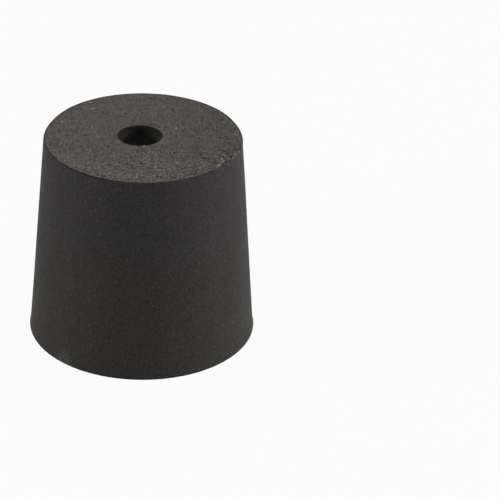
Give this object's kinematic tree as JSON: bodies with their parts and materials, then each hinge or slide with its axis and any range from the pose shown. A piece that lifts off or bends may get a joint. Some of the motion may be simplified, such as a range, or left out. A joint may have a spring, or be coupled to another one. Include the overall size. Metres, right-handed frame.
{
  "type": "rubber stopper",
  "caption": "Tapered round rubber stopper with a straight bore through it, which plugs the neck of a flask or bottle and holds a tube.",
  "frame": {"origin": "centre of the wide end, the flat face that the stopper stands on, where the tapered wall's axis meets it", "axes": "+Z along the tapered wall's axis and the bore, from the wide end up to the narrow end; the bore is moulded 0.45 mm off that axis, 0.4 mm towards -X and 0.2 mm towards +Y; the size numeral is sunk in the wide face on its +Y side, with its top towards the bore"},
  "size_m": [0.027, 0.027, 0.025],
  "materials": {
    "black_rubber": "matte black rubber, satin on the moulded wall and greyer on the flat end faces"
  },
  "bodies": {
    "root": {"stopper": "black_rubber"}
  },
  "joints": []
}
